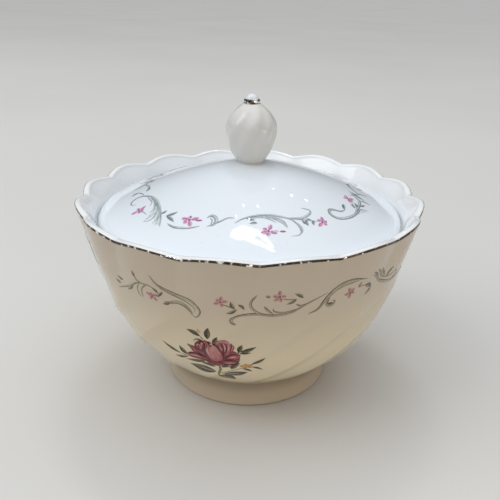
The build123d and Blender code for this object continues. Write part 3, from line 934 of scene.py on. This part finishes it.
# One repeat of the lid's border: degrees round the lid and millimetres from its axis
LID_SCALE = (0.628, 1.0)   # millimetres per degree at the border, so that strokes keep their width
LID_STROKES = [
    # the acanthus scroll on the left: its long outer line with a hook, and three inner leaves
    ([(-158.1, 38.8), (-159.6, 40), (-163, 39.9), (-165.5, 37.8), (-163.6, 35.4), (-157.8, 33.7),
      (-149, 33.5), (-140.1, 35.4), (-134.2, 37.9), (-130.1, 40.7)], 0.8),
    ([(-157.9, 34.1), (-151.5, 34), (-147, 34.9), (-143.3, 36.7), (-144.4, 38)], 0.6),
    ([(-154.4, 33.8), (-143.5, 35.1), (-139.2, 37.5), (-138.1, 39.9), (-140.1, 41.5)], 0.55),
    ([(-150, 33.7), (-140, 35.9), (-136, 38.3), (-135, 40.8)], 0.5),
    ([(-160.8, 34.8), (-152.2, 34.8), (-148.9, 36.3)], 0.4),
    ([(-146, 34.4), (-138.6, 36.4), (-134.4, 39.2), (-133, 41)], 0.35),
    ([(-137.1, 36.4), (-136.4, 34.9)], 0.35),
    ([(-149.5, 39.6), (-147, 38.9), (-143.4, 39)], 0.35),
    ([(-181.6, 39.6), (-183.5, 36.8), (-189.4, 34.7), (-193.1, 33.2)], 0.8),
    ([(-170.2, 34.6), (-175, 33.9), (-179.5, 34.6), (-185.5, 36.4)], 0.8),
    ([(-172.6, 37.4), (-169.5, 36.2), (-165, 35.6)], 0.45),
    # arc under the second flower, and the curl after it
    ([(-128.4, 38.8), (-124.5, 39.3), (-120.7, 39), (-116.5, 38.2), (-112.9, 36.9)], 0.8),
    ([(-111.8, 33.4), (-110.6, 32.3), (-108.3, 32.4), (-106.4, 33.8), (-106.8, 35.5), (-109.6, 36.6)], 1.2),
    ([(-110.2, 33.2), (-108.3, 34.2), (-108.3, 35.9)], 0.5),
    ([(-107, 35.4), (-104.5, 34.1), (-101.4, 32.4), (-97.8, 32.1)], 0.6),
    # the long middle scroll, its two leaves and the curl above it
    ([(-97.2, 34.2), (-93.5, 32.3), (-86.8, 30.9), (-78.2, 30.8), (-71.9, 32.1), (-68.5, 33.4),
      (-66.9, 35.7), (-67.1, 38.1), (-68.9, 39.4), (-72.4, 39.5)], 0.75),
    ([(-91.1, 31.9), (-83.4, 31.6), (-79, 32.8), (-76.8, 34.2)], 0.6),
    ([(-82, 31.3), (-75.5, 32.4), (-73, 34.1), (-72.1, 36)], 0.7),
    ([(-79, 31.8), (-76.2, 33), (-73.8, 34.6), (-72.5, 36.3)], 0.4),
    ([(-71.5, 32.3), (-68.1, 32.9), (-62.6, 33.3), (-57.7, 32.5), (-55.5, 31.8), (-55.1, 30.7),
      (-58.8, 29.3)], 0.85),
    ([(-67.9, 34), (-66.2, 36), (-66.4, 38), (-68, 39.2)], 0.7),
    ([(-78.6, 36.9), (-77, 37.4)], 0.3),
    ([(-67, 33.2), (-62, 34.2), (-57, 35.4), (-55.4, 36)], 0.4),
    # the right scroll
    ([(-33.6, 35.3), (-37.4, 35), (-41, 33.2), (-43.6, 33.2), (-45.2, 35), (-43, 37), (-37, 38.1),
      (-30, 38.3), (-24, 38.3), (-21.4, 39.8)], 1.1),
    ([(-31, 38.2), (-27, 37.6), (-20, 37.2), (-14.6, 36.6), (-9.5, 34.3), (-5.5, 32.8)], 1),
    ([(-14.2, 36.8), (-12.4, 38.4), (-13, 40.2)], 0.8),
    ([(-26, 36.6), (-23, 35.4), (-20.4, 34.6)], 0.4),
]
LID_LEAVES = [
    ((-136.8, 36.6), (-136.2, 34.6), 0.9, 0.1), ((-133, 36.4), (-129.6, 33.7), 1.1, 0.2),
    ((-133, 36.4), (-126.2, 37.6), 1.1, -0.2), ((-173, 37.2), (-171.2, 39.6), 1, 0.2),
    ((-170, 34.8), (-174, 33.4), 0.9, 0.2), ((-86.2, 33.9), (-90, 34.2), 0.9, 0.2),
    ((-91.6, 31.9), (-87, 32.6), 0.8, 0.2), ((-63.5, 34.2), (-61.6, 36.2), 1, 0.2),
    ((-61, 34.4), (-62.4, 36.6), 1, 0.2), ((-58.6, 34.9), (-61, 33.9), 0.9, 0),
    ((-57.6, 35.2), (-59.4, 36.8), 1, 0.2), ((-29, 33.5), (-34, 35.3), 1.1, 0.2),
    ((-26.4, 36.9), (-24.4, 34.8), 0.9, 0.2), ((-24.4, 36.9), (-20.2, 35.6), 0.9, 0.2),
    ((-20.8, 37.2), (-17, 38.6), 1, 0.2), ((-6.4, 33.8), (-11.2, 38.4), 1, 0.2),
]
LID_FILLS = [
    # pale bodies of the acanthus leaves
    ((-160, 34.2), [(-150, 33.5), (-141, 35), (-135.5, 37.5)],
     [(-150, 34.4), (-141.5, 36.6), (-136.2, 39.4)], (-130.1, 40.7)),
    ((-158, 34.2), [(-148, 34), (-140.5, 36.5)], [(-149.5, 34.9), (-143.8, 37.2)], (-140.1, 41.5)),
    ((-88, 31.4), [(-78, 31.2), (-72.8, 33.2)], [(-80, 32.2), (-75.4, 33.8)], (-72.2, 36.2)),
    ((-33, 38), [(-28, 37.5), (-24, 38)], [(-28.5, 39), (-25, 39.6)], (-20.6, 40.6)),
]
LID_BLOSSOMS = [
    ((-150.6, 39.4), 1.25, 30), ((-119.6, 35.5), 1.45, 40), ((-81.6, 37), 1.35, 15), ((-54, 36.4), 1.25, 80),
    ((-19.4, 33.4), 1.25, 20),
]
LID_BUDS = [((-116.6, 35.1), (-113.2, 34.6)), ((-76.6, 37.4), (-73.8, 37.6))]

lid_scrolls = Transfer(LID_SCALE, flipped=True)
lid_blossoms = Transfer(LID_SCALE, flipped=True)
for middle in (0, 180):
    lid_layout = lid_place(middle)
    for fill in LID_FILLS:
        lid_scrolls.between(lid_layout, *fill, tone=(0.2, 0.0), rim=0.15)
    for k, (route, width) in enumerate(LID_STROKES):
        lid_scrolls.stroke(lid_layout, route, width, layer=1 + k % 4)
    for root, tip, width, bow in LID_LEAVES:
        lid_scrolls.leaf(lid_layout, root, tip, width, bow, layer=5)
    for centre, size, turn in LID_BLOSSOMS:
        blossom(lid_blossoms, lid_layout, centre, size, turn)
    for root, tip in LID_BUDS:
        lid_blossoms.leaf(lid_layout, root, tip, 0.7, tone=(0.5, 0.8), power=0.6)
lid_scrolls.build("lid_scroll_border", "lid", lid_scroll_print)
lid_blossoms.build("lid_border_blossoms", "lid", lid_blossom_print)


# ---- Floor ----
FLOOR_HALF = 14.0          # metres


def make_floor():
    n = Nodes(bpy.data.materials.new("pale_floor"))
    cloud = n.ramp(n.noise(3.0, 3.0), [(0.3, (0.66, 0.64, 0.61)), (0.7, (0.70, 0.68, 0.65))])
    n.set(Base_Color=cloud, Roughness=0.65)
    mesh = bpy.data.meshes.new("floor")
    corners = [(FLOOR_HALF * x, FLOOR_HALF * y, 0) for x, y in ((-1, -1), (1, -1), (1, 1), (-1, 1))]
    mesh.from_pydata(corners, [], [(0, 1, 2, 3)])
    mesh.materials.append(n.owner)
    floor = new_object("floor", mesh)


make_floor()


# ---- Light ----
def area_light(name, location, target, size, power, colour=(1.0, 1.0, 1.0), shape="RECTANGLE", turn=0.0):
    """A soft light that faces a point, turned by an angle in degrees about its own direction."""
    data = bpy.data.lights.new(name, "AREA")
    data.shape = shape
    data.size, data.size_y = size
    data.energy = power
    data.color = colour
    light = new_object(name, data)
    light.location = location
    facing = (Vector(target) - Vector(location)).to_track_quat("-Z", "Y")
    light.rotation_euler = (facing @ Quaternion((0, 0, 1), math.radians(turn))).to_euler()


MIDDLE = (0, 0, 0.05)
COOL = (0.94, 0.97, 1.0)
WARM = (1.0, 0.84, 0.64)
WINDOW_AIM = (0, -0.038, 0.065)
area_light("window", (-0.037, 0.36, 0.985), WINDOW_AIM, (0.15, 0.068), 0.55, COOL, "ELLIPSE", -6)
area_light("window_upper_edge", (0.084, 0.34, 0.99), WINDOW_AIM, (0.14, 0.022), 0.16, COOL, "ELLIPSE", -26)
area_light("window_lower_edge", (0.054, 0.309, 1.0), WINDOW_AIM, (0.20, 0.018), 0.18, COOL, "ELLIPSE", -9)
area_light("key", (-1.1, -0.32, 1.25), MIDDLE, (1.1, 1.1), 7.6, (0.965, 0.99, 1.0))
area_light("right_fill", (0.85, -1.2, 0.2), MIDDLE, (0.7, 0.3), 2.2, WARM)
CEILING_SPOTS = [
    (-0.085, 0.451, 0.942), (-0.001, 0.432, 0.956), (-0.042, 0.509, 0.916), (0.051, 0.507, 0.916),
    (0.165, 0.646, 0.807), (0.263, 0.649, 0.773), (0.33, 0.661, 0.734),
]
for k, spot in enumerate(CEILING_SPOTS):
    area_light(f"ceiling_spot_{k}", spot, (0, -0.02, 0.07), (0.012, 0.012), 0.009, COOL, "DISK")

# The room is bright overhead and falls off towards the horizon
HORIZON_LIGHT = 0.13
ZENITH_LIGHT = 1.95
world = bpy.data.worlds.new("studio")
n = Nodes(world, "Background", "Generated")
falloff = n.math("POWER", n.height(), 3.0)
n.set(Color=n.ramp(falloff, [(0.0, (0.90, 0.87, 0.84)), (1.0, (0.80, 0.87, 0.94))]))
n.set(Strength=n.span(falloff, 0.0, 1.0, HORIZON_LIGHT, ZENITH_LIGHT))
bpy.context.scene.world = world
bpy.context.scene.view_settings.view_transform = "Standard"

# ---- Camera: in front of the bowl, looking down at it, with the lens close to the lip ----
CAMERA_BACK = 0.19403
CAMERA_UP = 0.13005
CAMERA_SIDE = 0.0001
CAMERA_PITCH = 0.4132      # radians below the horizon
CAMERA_TURN = 0.0011       # radians to the right
CAMERA_ROLL = 0.0204
FIELD_OF_VIEW = math.radians(45.33)

ahead = Vector((CAMERA_TURN, math.cos(CAMERA_PITCH), -math.sin(CAMERA_PITCH))).normalized()
level = ahead.cross(Vector((0, 0, 1))).normalized()
upright = level.cross(ahead)
right = level * math.cos(CAMERA_ROLL) + upright * math.sin(CAMERA_ROLL)
up = upright * math.cos(CAMERA_ROLL) - level * math.sin(CAMERA_ROLL)
camera_data = bpy.data.cameras.new("camera")
camera_data.sensor_width = 36
camera_data.lens = 18 / math.tan(FIELD_OF_VIEW / 2)
camera_data.clip_start = 0.01
camera = new_object("camera", camera_data)
camera.matrix_world = Matrix((right, up, -ahead)).transposed().to_4x4()
camera.location = (CAMERA_SIDE, -CAMERA_BACK, CAMERA_UP)
bpy.context.scene.camera = camera
